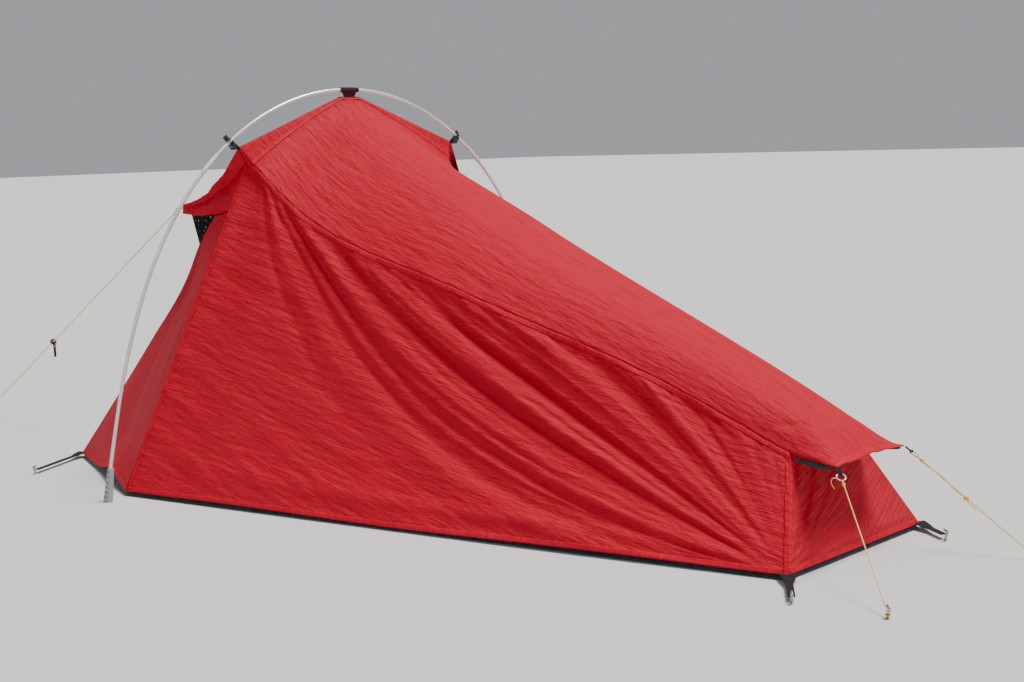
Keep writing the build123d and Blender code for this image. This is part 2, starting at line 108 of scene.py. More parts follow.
def raise_up(tree, shader, height, distance, strength=1.0, under=None):
    """A bump from a height value, on top of an earlier bump if one is given."""
    bump = add(tree, "ShaderNodeBump", in_Strength=strength, in_Distance=distance)
    tree.links.new(height, bump.inputs["Height"])
    if under is not None:
        tree.links.new(under, bump.inputs["Normal"])
    tree.links.new(bump.outputs["Normal"], shader.inputs["Normal"])
    return bump.outputs["Normal"]


def paint(tree, shader, source, stops, socket="Base Color"):
    """A colour ramp over a value, into one of the shader's inputs."""
    tree.links.new(ramp(tree, source, stops), shader.inputs[socket])


def noise(tree, where, scale, detail=3.0, rough=0.5):
    """A soft random pattern, as its 0 to 1 value."""
    node = add(tree, "ShaderNodeTexNoise", in_Scale=scale, in_Detail=detail, in_Roughness=rough)
    tree.links.new(where, node.inputs["Vector"])
    return node.outputs["Fac"]


def give(material, *names):
    """CAD nodes that keep their shape get this finish."""
    for name in names:
        slots = nodes[name].data.materials
        slots.clear()
        slots.append(material)


alloy, tree, shader = finish("polished_alloy", (0.9, 0.9, 0.88), 0.34, metallic=0.55)
where = place(tree)
scuffs = noise(tree, where, 420, 4, 0.6)
paint(tree, shader, noise(tree, where, 9, 3), [(0.3, (0.80, 0.80, 0.78)), (0.7, (0.97, 0.97, 0.95))])
paint(tree, shader, scuffs, [(0.35, (0.22,) * 3), (0.75, (0.48,) * 3)], "Roughness")
raise_up(tree, shader, scuffs, 0.0001, 0.3)
tube_names = [f"pole_{part}_{name}" for part in ("crown", "leg", "foot") for side, name in both_sides]
give(alloy, *tube_names, "pole_ferrules", "pole_tips")

pale, tree, shader = finish("pale_plastic", (0.80, 0.80, 0.78), 0.42)
where = place(tree)
paint(tree, shader, noise(tree, where, 60), [(0.35, (0.66, 0.66, 0.64)), (0.7, (0.86, 0.86, 0.84))])
raise_up(tree, shader, noise(tree, where, 900, 2), 0.0001, 0.4)
give(pale, "pole_sleeves", "shock_cord")

# ---------------------------------------------------------------------------------------------
# The boots, tabs and straps: flat woven webbing, in pale grey at the pole's feet, dark maroon
# at the crown, and black at the clips and corners. Sewn to the canopy's corners.


def webbing(name, dark, light, pitch):
    """Woven webbing: ribs across the strap and threads along it, on the object's own axes."""
    material, tree, shader = finish(name, light, 0.85, Specular_IOR_Level=0.2)
    turns = 2 * pi / pitch
    ribs = add(tree, "ShaderNodeTexWave", bands_direction="Z", in_Scale=turns / 20,
               in_Distortion=1.2, in_Detail=1.0)
    threads = add(tree, "ShaderNodeTexWave", bands_direction="Y", in_Scale=turns / 12,
                  in_Distortion=0.8, in_Detail=1.0)
    where = place(tree)
    tree.links.new(where, ribs.inputs["Vector"])
    tree.links.new(where, threads.inputs["Vector"])
    weave = add(tree, "ShaderNodeMath", operation="MULTIPLY_ADD", in_1=0.6)
    tree.links.new(ribs.outputs["Fac"], weave.inputs[0])
    tree.links.new(threads.outputs["Fac"], weave.inputs[2])
    paint(tree, shader, weave.outputs["Value"], [(0.25, dark), (1.0, light)])
    raise_up(tree, shader, weave.outputs["Value"], 0.0006, 0.7)
    return material


grey_webbing = webbing("grey_webbing", (0.16, 0.16, 0.17), (0.50, 0.50, 0.51), 0.004)
black_webbing = webbing("black_webbing", (0.003, 0.003, 0.005), (0.018, 0.018, 0.024), 0.003)
maroon_webbing = webbing("maroon_webbing", (0.02, 0.004, 0.008), (0.09, 0.018, 0.028), 0.003)
give(grey_webbing, "pole_boot_near", "pole_boot_far")
give(maroon_webbing, "crown_tab", "tensioner_tail")
give(black_webbing, "head_straps", "foot_straps", "guy_tabs", "tie_back_webbing")

# ---------------------------------------------------------------------------------------------
# Clips, toggle, zip and tensioner: black moulded plastic with a fine mould texture. The zip's
# slider and pull, the rings and the pegs are plated steel wire and sheet.

black_plastic, tree, shader = finish("black_plastic", (0.02, 0.018, 0.02), 0.42)
where = place(tree)
paint(tree, shader, noise(tree, where, 120), [(0.4, (0.012, 0.012, 0.014)), (0.75, (0.05, 0.045, 0.05))])
raise_up(tree, shader, noise(tree, where, 1400, 2), 0.0002, 0.5)
give(black_plastic, "side_clip_near", "side_clip_far", "tie_back_toggle", "tensioner", "zip_chain")

steel, tree, shader = finish("plated_steel", (0.5, 0.5, 0.5), 0.35, metallic=1.0)
where = place(tree)
wear = noise(tree, where, 260, 4, 0.6)
paint(tree, shader, wear, [(0.3, (0.16, 0.15, 0.14)), (0.6, (0.55, 0.54, 0.52))])
paint(tree, shader, wear, [(0.3, (0.6,) * 3), (0.7, (0.28,) * 3)], "Roughness")
raise_up(tree, shader, wear, 0.0002, 0.4)
give(steel, "zip_slider", "zip_pull", "guy_rings", "corner_pegs", "guyline_pegs")

# ---------------------------------------------------------------------------------------------
# The guylines: three taut lines of yellow braided cord, one of them paler, tied to the rings
# and looped round their pegs. The braid has a painted highlight on each crown and painted shade
# between. The far foot line runs double from its ring to a knot.

line_width = 0.0024
straight_end = 0.03        # how far in from each end a taut line has its next point


def cord_material(name, dark, light):
    """Braided cord: small raised cells, a painted highlight on each crown, painted shade between."""
    material, tree, shader = finish(name, light, 0.6)
    where = place(tree, turn=(0.5, 0.6, 0.2))
    braid = add(tree, "ShaderNodeTexVoronoi", in_Scale=520.0)
    tree.links.new(where, braid.inputs["Vector"])
    # Painted highlight on the crowns of the cells and painted shade in the gaps between them.
    paint(tree, shader, braid.outputs["Distance"], [(0.1, light), (0.75, dark)])
    raise_up(tree, shader, braid.outputs["Distance"], 0.0006, 0.8)
    return material


yellow_cord = cord_material("yellow_cord", (0.80, 0.40, 0.002), (1.0, 0.62, 0.005))
pale_cord = cord_material("pale_yellow_cord", (0.86, 0.42, 0.07), (1.0, 0.84, 0.40))
give(yellow_cord, "guyline_knots", "guyline_loops", "tensioner_knot")


def soft_line(name, points, width, material):
    """A smooth cord through points in metres, as one NURBS spline."""
    curve = bpy.data.curves.new(name, "CURVE")
    curve.dimensions = "3D"
    spline = curve.splines.new("NURBS")
    spline.points.add(len(points) - 1)
    for item, point in zip(spline.points, points):
        item.co = (*point, 1)
    spline.order_u = 3
    spline.use_endpoint_u = True
    curve.bevel_depth = width / 2
    curve.bevel_resolution = 4
    curve.use_fill_caps = True
    curve.materials.append(material)
    line = bpy.data.objects.new(name, curve)
    bpy.context.scene.collection.objects.link(line)
    return line


def loose_end(name, start, steps, width, material):
    """A short free end of cord that curls away from a knot."""
    return soft_line(name, [start] + [start + Vector(step) for step in steps], width, material)


def taut(start, end):
    """The points of a tight line: its ends, and one near each."""
    start, end = Vector(start), Vector(end)
    step = (end - start).normalized() * straight_end
    return [start, start + step, end - step, end]


doubled = 0.125            # how far the far foot line runs double
hitch_radius = 0.0052

lines = {
    "head": ((-0.84482, -0.44562, 0.72291), (-2.15108, -0.46999, 0.00954), yellow_cord),
    "foot_near": ((1.13426, -0.14754, 0.19432), (1.338, -0.31375, 0.00989), pale_cord),
    "foot_far": ((1.13952, 0.13489, 0.1931), (1.373, 0.18993, 0.01), yellow_cord),
}
for name, (start, end, material) in lines.items():
    line = soft_line(f"line_{name}", taut(start, end), line_width, material)
    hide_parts(f"guyline_{name}")
    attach(line, "tent")
    if name == "foot_far":
        begin, along = Vector(start), (Vector(end) - Vector(start)).normalized()
        beside = along.cross(Vector((0, 0, 1))).normalized() * line_width * 1.05
        above = along.cross(beside)
        twist = [begin + along * doubled * t + beside * cos(9 * t) + above * sin(9 * t) * 0.6
                 for t in np.linspace(0, 1, 14)]
        strand = soft_line("line_foot_far_second_strand", twist, line_width, yellow_cord)
        bpy.ops.mesh.primitive_uv_sphere_add(segments=24, ring_count=16, radius=hitch_radius,
                                             location=begin + along * (doubled + 0.003))
        hitch = bpy.context.object
        hitch.name = "line_foot_far_hitch"
        hitch.scale = (1.25, 0.95, 0.9)
        bpy.ops.object.transform_apply(location=True, rotation=True, scale=True)
        bpy.ops.object.shade_smooth()
        hitch.data.materials.append(yellow_cord)
        curl = ((0.004, -0.002, -0.008), (0.012, -0.001, -0.014), (0.020, 0.003, -0.022))
        tail = loose_end("line_foot_far_tail", begin + along * (doubled + 0.005), curl, 0.002, yellow_cord)
        for piece in (strand, hitch, tail):
            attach(piece, "tent")
    if name == "foot_near":
        curl = ((-0.006, -0.010, 0.006), (-0.012, -0.012, -0.002), (-0.010, -0.010, -0.012),
                (-0.004, -0.010, -0.018))
        knot = Vector(start) + Vector((-0.004, -0.006, 0.004))
        tail = loose_end("line_foot_near_tail", knot, curl, 0.0016, pale_cord)
        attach(tail, "tent")

# ---------------------------------------------------------------------------------------------
# The canopy: one skin of thin coated red nylon over the hoop, cut in a roof and two sides and
# sewn along the roof seams. Pulled from the shoulders to the low corners, so it lies in long
# folds that run between them. Faintly crumpled all over.

shoulder = (0.0, 0.385, 0.893)
below_clip = (0.0, 0.361, 0.855)
seam_points = [shoulder, (0.026, 0.356, 0.846), (0.17, 0.335, 0.735), (0.75, 0.25, 0.527),
               (1.30, 0.155, 0.347), (1.603, 0.123, 0.226)]
foot_top = seam_points[-1]
hem_z = 0.012              # the red hem, just above the ground
hoop_hem = (-0.020, 0.775, hem_z)
foot_hem = (1.688, 0.252, hem_z)
peak_z = 1.030
peak_half = 0.034          # half the flat top under the crown tab
mid_arch = 0.022           # how far the roof's straight ridge would clear its seams at the foot
end_arch = 0.066           # how far the roof stands above its seams at the foot end
skin = 0.0007              # cloth thickness
# Each long fold of a side: the angle that the shoulder and the foot's low corner span there, its
# half width, both in degrees, and its depth.
side_folds = ((160, 3.0, -0.9), (165.5, 3.0, 0.7), (170.5, 2.6, -1.0), (177, 3.4, 0.9), (183.5, 2.4, -1.1),
              (188.5, 2.6, 0.8), (192.5, 2.2, -0.8), (199, 3.2, 1.0), (203, 1.6, -0.7), (208, 2.2, -0.8),
              (213, 3.0, 0.5), (219, 2.6, -0.35))


def point_on(side, point):
    """A point given from the hoop's foot line, on the near or the far side."""
    return np.array([hoop_x + point[0], side * point[1], point[2]], float)


def straight(a, b):
    """The straight line from a to b, for t from 0 to 1."""
    a, b = np.asarray(a, float), np.asarray(b, float)
    return lambda t: a + (b - a) * np.asarray(t)[..., None]


def eased(points):
    """A smooth curve through points, with t shared out by distance."""
    points = np.array(points, float)
    reach = np.concatenate([[0], np.cumsum(np.linalg.norm(np.diff(points, axis=0), axis=1))])
    reach /= reach[-1]
    slope = np.gradient(points, reach, axis=0)

    def curve(t):
        t = np.clip(np.asarray(t, float), 0, 1)
        i = np.clip(np.searchsorted(reach, t, side="right") - 1, 0, len(reach) - 2)
        span = reach[i + 1] - reach[i]
        s = ((t - reach[i]) / span)[..., None]
        h = span[..., None]
        return ((2 * s**3 - 3 * s**2 + 1) * points[i] + (s**3 - 2 * s**2 + s) * h * slope[i]
                + (3 * s**2 - 2 * s**3) * points[i + 1] + (s**3 - s**2) * h * slope[i + 1])
    return curve


def seam_line(side):
    """The seam between roof and side, from the shoulder to the foot."""
    return eased([point_on(side, p) for p in seam_points])


def hem_line(side):
    """The hem from the pole's foot to the foot end, bowed out a little and not quite level."""
    base = straight(point_on(side, hoop_hem), point_on(side, foot_hem))

    def curve(t):
        t = np.asarray(t, float)
        points = base(t)
        points[..., 1] += side * 0.014 * np.sin(pi * t) * t**0.5
        points[..., 2] += 0.003 * np.sin(9 * t + 0.5) * np.sin(pi * t)
        return points
    return curve


def hoop_edge(side):
    """The sewn edge under the hoop: from the clip in to the shoulder's dip, then straight down."""
    corners = np.array([point_on(side, p) for p in (shoulder, below_clip, hoop_hem)])
    return lambda t: np.stack([np.interp(t, (0, 0.05, 1), corners[:, i]) for i in range(3)], axis=-1)


def between(a, b):
    """Straight rulings from curve a to curve b."""
    def surface(u, v):
        return a(u) * (1 - v[..., None]) + b(u) * v[..., None]
    return surface


def roof(u, v):
    """The roof from seam to seam: a ridge under the hoop that flattens to an arch at the foot."""
    near, far = seam_line(NEAR)(u), seam_line(FAR)(u)
    late = np.clip((u - 0.45) / 0.55, 0, 1)
    swell = late * late * (3 - 2 * late)
    ridge = peak_z + (foot_top[2] + mid_arch - peak_z) * u + (end_arch - mid_arch) * swell
    across = np.abs(2 * v - 1)
    flat_top = (peak_half / shoulder[1]) * np.clip(1 - u / 0.25, 0, 1)
    slope = np.clip((across - flat_top) / (1 - flat_top), 0, 1)
    sharp = 1 + 1.5 * np.minimum(u / 0.4, 1) + 2.0 * late
    points = near + (far - near) * v[..., None]
    points[..., 2] = ridge + (near[..., 2] - ridge) * slope**sharp
    return points


def normals(points, outward):
    """The unit normal at each point of a grid, on the outward side."""
    n = np.cross(np.gradient(points, axis=0), np.gradient(points, axis=1))
    n /= np.linalg.norm(n, axis=2, keepdims=True) + 1e-12
    return n if np.sum(n.mean(axis=(0, 1)) * outward) > 0 else -n


def wander(x, seed):
    """A smooth random-looking wave of x, about -1 to 1, the same every run."""
    rates = np.array([1.0, 1.83, 3.1, 4.7])
    shifts = np.random.default_rng(seed).uniform(0, 2 * pi, 4)
    return sum(np.sin(x * r + s) / (1 + i) for i, (r, s) in enumerate(zip(rates, shifts))) / 2.08


def angle_of(way):
    return np.arctan2(way[..., 1], way[..., 0])


def pulled(points, side):
    """How far a side stands out, in long folds between the shoulder and the foot's low corner."""
    a = point_on(side, shoulder)[[0, 2]]
    b = point_on(side, foot_hem)[[0, 2]]
    p = points[..., [0, 2]]
    to_a, to_b = a - p, b - p
    far_a = np.linalg.norm(to_a, axis=-1)
    far_b = np.linalg.norm(to_b, axis=-1)
    turn = np.degrees((angle_of(to_b) - angle_of(to_a)) % (2 * pi))
    width = far_a * far_b / np.linalg.norm(a - b)
    along = np.log((far_a + 0.02) / (far_b + 0.02))
    shape = np.zeros_like(turn)
    for centre, half, depth in side_folds:
        drift = 1.2 * wander(along * 1.5 + centre, int(centre))
        fade = 0.65 + 0.35 * wander(along * 1.1, int(centre) + 7)
        shape += depth * fade / (1 + ((turn - centre - drift) / (0.8 * half)) ** 2) ** 1.5
    tight = np.clip((214 - turn) / 12, 0, 1)
    fine = (0.25 * wander(turn * 0.9 + 2 * np.sin(along), 3) + 0.15 * wander(turn * 1.7 + along, 5)) * tight
    reach = np.clip(far_a / 0.07, 0, 1) * np.clip(far_b / 0.12, 0, 1)
    height = 0.030 * width + 0.011 * np.exp(-far_a / 0.28)
    low_left = np.clip((turn - 204) / 14, 0, 1) * np.clip(far_a / 0.3, 0, 1)
    across = (points[..., 2] + 0.42 * (points[..., 0] - hoop_x)) * 62
    ripples = 0.0026 * wander(across + 1.6 * np.sin(5 * points[..., 0] + across * 0.12), 13) * low_left
    ripples *= 0.6 + 0.4 * wander(points[..., 0] * 11 + across * 0.2, 17)
    return height * (shape + fine) * reach + ripples


def show(name, mesh):
    """An object for a mesh, linked to the scene and active."""
    piece = bpy.data.objects.new(name, mesh)
    bpy.context.scene.collection.objects.link(piece)
    bpy.context.view_layer.objects.active = piece
    return piece


def thicken(piece, thickness, offset):
    """Gives a surface its thickness: offset -1 adds it behind the surface, and 1 in front."""
    wall = piece.modifiers.new("wall", "SOLIDIFY")
    wall.thickness = thickness
    wall.offset = offset
    bpy.ops.object.modifier_apply(modifier=wall.name)


cloth_sizes = {}           # each cloth's flat width and length, and its area


def lay_cloth(name, points, outward, material, grain=0.0, thick=skin):
    """A thin sheet from a grid of points. Its UV maps are Cloth, in metres along and across it,
    and Grain, the same turned by an angle so that a crumpled pattern follows the pull."""
    columns, rows = points.shape[:2]
    index = np.arange(columns * rows).reshape(columns, rows)
    corners = (index[:-1, :-1], index[1:, :-1], index[1:, 1:], index[:-1, 1:])
    quads = np.stack(corners, axis=-1).reshape(-1, 4)
    faces_way = np.cross(np.gradient(points, axis=0), np.gradient(points, axis=1)).mean(axis=(0, 1))
    if np.dot(faces_way, np.asarray(outward, float)) < 0:
        quads = quads[:, ::-1]
    mesh = bpy.data.meshes.new(name)
    mesh.from_pydata(points.reshape(-1, 3).tolist(), [], quads.tolist())
    steps = [np.linalg.norm(np.diff(points, axis=axis), axis=2) for axis in (0, 1)]
    along = np.concatenate([np.zeros((1, rows)), np.cumsum(steps[0], axis=0)])
    over = np.concatenate([np.zeros((columns, 1)), np.cumsum(steps[1], axis=1)], axis=1)
    flat = np.stack([along, over], axis=-1).reshape(-1, 2)
    turned = np.stack([flat[:, 0] * cos(grain) + flat[:, 1] * sin(grain),
                       -flat[:, 0] * sin(grain) + flat[:, 1] * cos(grain)], axis=-1)
    loops = np.zeros(len(mesh.loops), int)
    mesh.loops.foreach_get("vertex_index", loops)
    for label, values in (("Cloth", flat), ("Grain", turned)):
        layer = mesh.uv_layers.new(name=label)
        layer.data.foreach_set("uv", values[loops].ravel())
    mesh.polygons.foreach_set("use_smooth", [True] * len(mesh.polygons))
    mesh.materials.append(material)
    piece = show(name, mesh)
    thicken(piece, thick, -1)
    first = np.cross(points[1:, :-1] - points[:-1, :-1], points[:-1, 1:] - points[:-1, :-1])
    second = np.cross(points[1:, 1:] - points[:-1, 1:], points[1:, 1:] - points[1:, :-1])
    area = float(sum(np.linalg.norm(half, axis=2).sum() for half in (first, second)) / 2)
    cloth_sizes[name] = (float(over[:, -1].max()), float(along[-1].max())), area
    return piece


def grid(columns, rows, u=(0, 1), v=(0, 1)):
    """Even steps of u along a cloth and v across it."""
    return np.meshgrid(np.linspace(*u, columns), np.linspace(*v, rows), indexing="ij")


def fit_sheet(piece):
    """Works out a sheet's flat size and area, measured off its own surface, and bounds the area by the size.
    """
    size, area = cloth_sizes[piece.name]
    area = min(max(area, 0.3 * size[0] * size[1]), size[0] * size[1])


def nylon(name, shade, lit, crumple=1.0):
    """Thin coated nylon: a fine ripstop grid, crumples drawn out along the pull, soft sheen."""
    material, tree, shader = finish(name, lit, 0.55, Specular_IOR_Level=0.16)
    crease = place(tree, scale=(0.40, 2.2, 1.0), uv="Grain")
    broad = noise(tree, crease, 27, 5, 0.6)
    fine = noise(tree, crease, 105, 4, 0.7)
    veins = add(tree, "ShaderNodeTexNoise", in_Scale=30.0, in_Detail=3.0, in_Distortion=1.4)
    veins.noise_type = "RIDGED_MULTIFRACTAL"
    tree.links.new(crease, veins.inputs["Vector"])
    colour = add(tree, "ShaderNodeMix", data_type="RGBA", in_0=0.5)
    tree.links.new(ramp(tree, broad, [(0.36, shade), (0.62, lit)]), colour.inputs["A"])
    tree.links.new(ramp(tree, fine, [(0.35, shade), (0.6, lit)]), colour.inputs["B"])
    tree.links.new(colour.outputs["Result"], shader.inputs["Base Color"])
    paint(tree, shader, fine, [(0.3, (0.46,) * 3), (0.7, (0.62,) * 3)], "Roughness")
    ripstop = add(tree, "ShaderNodeTexBrick", offset=0.0, in_Scale=1.0, in_Mortar_Size=0.06)
    ripstop.inputs["Brick Width"].default_value = 1.0
    ripstop.inputs["Row Height"].default_value = 1.0
    tree.links.new(place(tree, scale=(180, 180, 180), uv="Cloth"), ripstop.inputs["Vector"])
    under = raise_up(tree, shader, ripstop.outputs["Fac"], 0.0003, 0.35)
    under = raise_up(tree, shader, fine, 0.0030 * crumple, 0.8, under)
    under = raise_up(tree, shader, veins.outputs["Fac"], 0.0016 * crumple, 0.45, under)
    raise_up(tree, shader, broad, 0.011 * crumple, 0.85, under)
    return material


red = nylon("red_nylon", (0.46, 0.001, 0.014), (0.57, 0.002, 0.024))
red_smooth = nylon("red_nylon_drawn_tight", (0.46, 0.001, 0.014), (0.57, 0.002, 0.023), crumple=0.6)


def side_points(side, u, v):
    """The side cloth, hollow between seam and hem, with its folds."""
    points = between(seam_line(side), hem_line(side))(u, v)
    taken_in = hoop_edge(side)(v) - straight(point_on(side, shoulder), point_on(side, hoop_hem))(v)
    points = points + taken_in * np.clip(1 - u / 0.12, 0, 1)[..., None] ** 2
    out = normals(points, (0, side, 0.4))
    hollow = -0.010 * np.sin(pi * u) * np.sin(pi * v)
    seam_hold = np.clip(v / 0.06, 0, 1) * np.clip((1 - v) / 0.05, 0, 1)
    gathers = 0.0022 * wander(u * 95, 11) * np.exp(-v / 0.06) * (1 - v)
    hem_roll = 0.005 * np.exp(-((v - 0.90) / 0.035) ** 2) * np.sin(pi * np.clip(u, 0, 1))
    below_seam = np.exp(-((v - 0.05) / 0.05) ** 2) * np.clip(u / 0.1, 0, 1)
    puckers = 0.0030 * wander(u * 60 - v * 30, 15) * below_seam
    lift = (pulled(points, side) + puckers) * seam_hold + hollow + hem_roll
    return points + out * lift[..., None] + np.array([0, side * 0.5, 0.85]) * gathers[..., None]


def roof_points(u, v):
    """The roof with its ribs, two creases and the gathers along its seams."""
    points = roof(u, v)
    out = normals(points, (0, 0, 1))
    edge = np.clip(v / 0.05, 0, 1) * np.clip((1 - v) / 0.05, 0, 1)
    start = np.clip(u / 0.10, 0, 1)
    ribs = 0.0022 * wander(v * 26 + 1.3 * u, 21) * start * edge
    creases = sum(depth * np.exp(-(((v - at) / 0.010) ** 2))
                  for at, depth in ((0.66, -0.0022), (0.72, 0.0016)))
    gathers = 0.0022 * wander(u * 95, 11) * np.exp(-np.minimum(v, 1 - v) / 0.04)
    lift = (ribs + creases * start) * (1 - 0.4 * u) - 0.006 * np.sin(pi * u) * edge
    over = np.clip(1 - np.abs(u - 0.012) / 0.012, 0, 1)
    lift = lift + 0.0022 * wander(np.abs(2 * v - 1) * 3 + u * 260, 23) * over
    tilt = np.stack([np.zeros_like(v), np.where(v < 0.5, -0.5, 0.5), np.full_like(v, 0.85)], axis=-1)
    return points + out * lift[..., None] + tilt * gathers[..., None]


awning_tip = (1.722, 0.128, 0.216)
awning_share = (awning_tip[0] - foot_top[0]) / foot_top[0]


def cover_points(u, v):
    """The roof for u from 0 to 1, and the awning that carries it on beyond the foot wall."""
    points = roof_points(np.clip(u, 0, 1), v)
    out = np.clip((u - 1) / awning_share, 0, 1)
    front = straight(point_on(NEAR, awning_tip), point_on(FAR, awning_tip))(v)
    arch = 1 - (2 * v - 1) ** 2
    front[..., 0] -= 0.010 * arch
    front[..., 2] += 0.004 * wander(v * 9, 91) * arch
    ease = out[..., None]
    points = points * (1 - ease) + front * ease
    points[..., 2] += 0.010 * np.sin(pi * out) * arch
    pleat_at = 0.07 + 0.10 * (u - 0.97) / 0.03
    pleat = np.exp(-(((v - pleat_at) / 0.03) ** 2)) * np.exp(-(((u - 0.985) / 0.020) ** 2))
    points[..., 2] -= 0.007 * pleat
    return points


u, v = grid(330, 96, u=(0, 1 + awning_share))
piece = lay_cloth("canopy_roof_and_awning", cover_points(u, v), (0.3, 0, 1), red, grain=radians(-4))
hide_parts("roof_panel", "foot_awning")
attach(piece, "tent")
fit_sheet(piece)

u, v = grid(320, 120, v=(1, 0))
near_out = (0, -1, 0.4)
piece = lay_cloth("canopy_near_side", side_points(NEAR, u, v), near_out, red, grain=radians(-14))
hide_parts("side_panel_near")
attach(piece, "tent")
fit_sheet(piece)

# ---------------------------------------------------------------------------------------------
# The far side: a strip beside the hoop, the door, and the long rear panel, cut from the same
# nylon. The door is zipped to the strip and sewn to the rear panel along its slanting edge.

door_top = point_on(FAR, (0.07077, 0.35618, 0.79104))


def down_to_hem(point):
    """The same edge of the door carried on to the level of the hem."""
    way = point - door_top
    return door_top + way * (hem_z - door_top[2]) / way[2]


door_left = down_to_hem(point_on(FAR, (0.07394, 0.74623, 0.030)))
door_right = down_to_hem(point_on(FAR, (0.78276, 0.52919, 0.030)))
far_out = (0.2, 0.9, 0.4)


def slack(points, outward, seed, rate, height):
    """Soft shallow folds that die out at the edges of a panel."""
    rows, columns = np.meshgrid(np.linspace(0, 1, points.shape[1]), np.linspace(0, 1, points.shape[0]))
    edge = np.clip(np.sin(pi * rows) * 2.2, 0, 1) * np.clip(np.sin(pi * columns) * 2.2, 0, 1)
    folds = wander(rows * rate + columns * rate * 0.6, seed)
    folds += 0.5 * wander(columns * rate * 1.4 - rows * 2, seed + 1)
    return points + normals(points, outward) * (folds * height * edge)[..., None]


u, v = grid(90, 40, v=(0, 1))
strip = between(hoop_edge(FAR), straight(door_top, door_left))(u, v)
strip = slack(strip, far_out, 31, 5, 0.0015)
piece = lay_cloth("far_strip", strip, far_out, red, grain=radians(70))
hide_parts("side_strip_far")
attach(piece, "tent")
fit_sheet(piece)

far_corner = point_on(FAR, foot_hem)
reach = [np.linalg.norm(door_right - door_top), np.linalg.norm(far_corner - door_right)]
turn_at = reach[0] / sum(reach)
rear_columns = 220
u, v = grid(rear_columns, 60)
low = np.where((u < turn_at)[..., None], straight(door_top, door_right)(u / turn_at),
               straight(door_right, far_corner)((u - turn_at) / (1 - turn_at)))
tries = np.linspace(0, 0.2, 400)
seam_start = tries[np.argmin(np.abs(seam_line(FAR)(tries)[:, 0] - door_top[0]))]
high = seam_line(FAR)(seam_start + (1 - seam_start) * u)
rear = high * (1 - v[..., None]) + low * v[..., None]
rear = slack(rear, far_out, 37, 9, 0.004)
piece = lay_cloth("far_rear_panel", rear, far_out, red, grain=radians(24))
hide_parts("side_panel_far")
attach(piece, "tent")
fit_sheet(piece)

u, v = grid(90, 70, u=(0.004, 1))
door = between(straight(door_top, door_left), straight(door_top, door_right))(u, v)
door = slack(door, far_out, 41, 6, 0.003)
piece = lay_cloth("door", door, far_out, red, grain=radians(40))
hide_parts("door_panel")
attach(piece, "door")
fit_sheet(piece)

# ---------------------------------------------------------------------------------------------
# The head end: two flanks and a sloping wall of the same nylon, and over them a hood that the
# head guylines hold out. Black insect mesh closes the vent under the hood.

hood_root = (0.0, 0.418, 0.727)
hood_tip = (-0.200, 0.445, 0.741)
hood_drop = 0.026          # the hood's hem hangs this far below its held tips
flank_top = (-0.070, 0.424, 0.712)
vent_sill = (-0.150, 0.430, 0.630)
wall_bend = (-0.190, 0.4545, 0.532)
wall_middle = (-0.330, 0.500, 0.350)
head_hem = (-0.560, 0.620, hem_z)


def wall_edge(side):
    """The edge between the head wall and a flank, from the vent's sill to the ground."""
    return eased([point_on(side, p) for p in (vent_sill, wall_bend, wall_middle, head_hem)])


flanks = {}
u, v = grid(110, 64)
for side, name in both_sides:
    flank_out = (-0.3, side, 0.3)
    outer = eased([point_on(side, p) for p in (flank_top, vent_sill, wall_bend, wall_middle, head_hem)])
    flank = between(straight(point_on(side, hood_root), point_on(side, hoop_hem)), outer)(u, v)
    flank[..., 2] += 0.028 * np.exp(-((1 - u) / 0.10) ** 2) * np.exp(-((v - 0.30) / 0.20) ** 2)
    flank = slack(flank, flank_out, 51, 5, 0.005)
    flanks[name] = flank
    piece = lay_cloth(f"head_flank_{name}_cloth", flank, flank_out, red, grain=radians(20))
    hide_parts(f"head_flank_{name}")
    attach(piece, "tent")
    fit_sheet(piece)

u, v = grid(90, 110)
wall_out = (-1, 0, 0.5)
wall = slack(between(wall_edge(NEAR), wall_edge(FAR))(u, v), wall_out, 57, 7, 0.006)
piece = lay_cloth("head_wall_cloth", wall, wall_out, red, grain=radians(60))
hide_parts("head_wall")
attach(piece, "tent")
fit_sheet(piece)

peak = (0.0, peak_half, peak_z)
back_points = np.array([point_on(NEAR, p) for p in (hood_root, below_clip, shoulder, peak)]
                       + [point_on(FAR, p) for p in (peak, shoulder, below_clip, hood_root)])
back_reach = np.concatenate([[0], np.cumsum(np.linalg.norm(np.diff(back_points, axis=0), axis=1))])
back_reach /= back_reach[-1]


def hood_back(t):
    """The hood's sewn edge: up one gore, over the peak and down the other."""
    return np.stack([np.interp(t, back_reach, back_points[:, i]) for i in range(3)], axis=-1)


def hood_front(t):
    """The hood's fold line, up each gore to its held tip and straight across between them, and
    how far each point is clear of the gores' lower ends, from 0 to 1."""
    share = np.clip((t - back_reach[2]) / (back_reach[5] - back_reach[2]), 0, 1)
    gore = np.clip(np.minimum(t, 1 - t) / back_reach[2], 0, 1)
    points = straight(point_on(NEAR, hood_tip), point_on(FAR, hood_tip))(share)
    points[..., 2] -= 0.010 * np.sin(pi * share) + hood_drop * (1 - gore)
    points[..., 0] += 0.012 * np.sin(pi * share)
    return points, gore


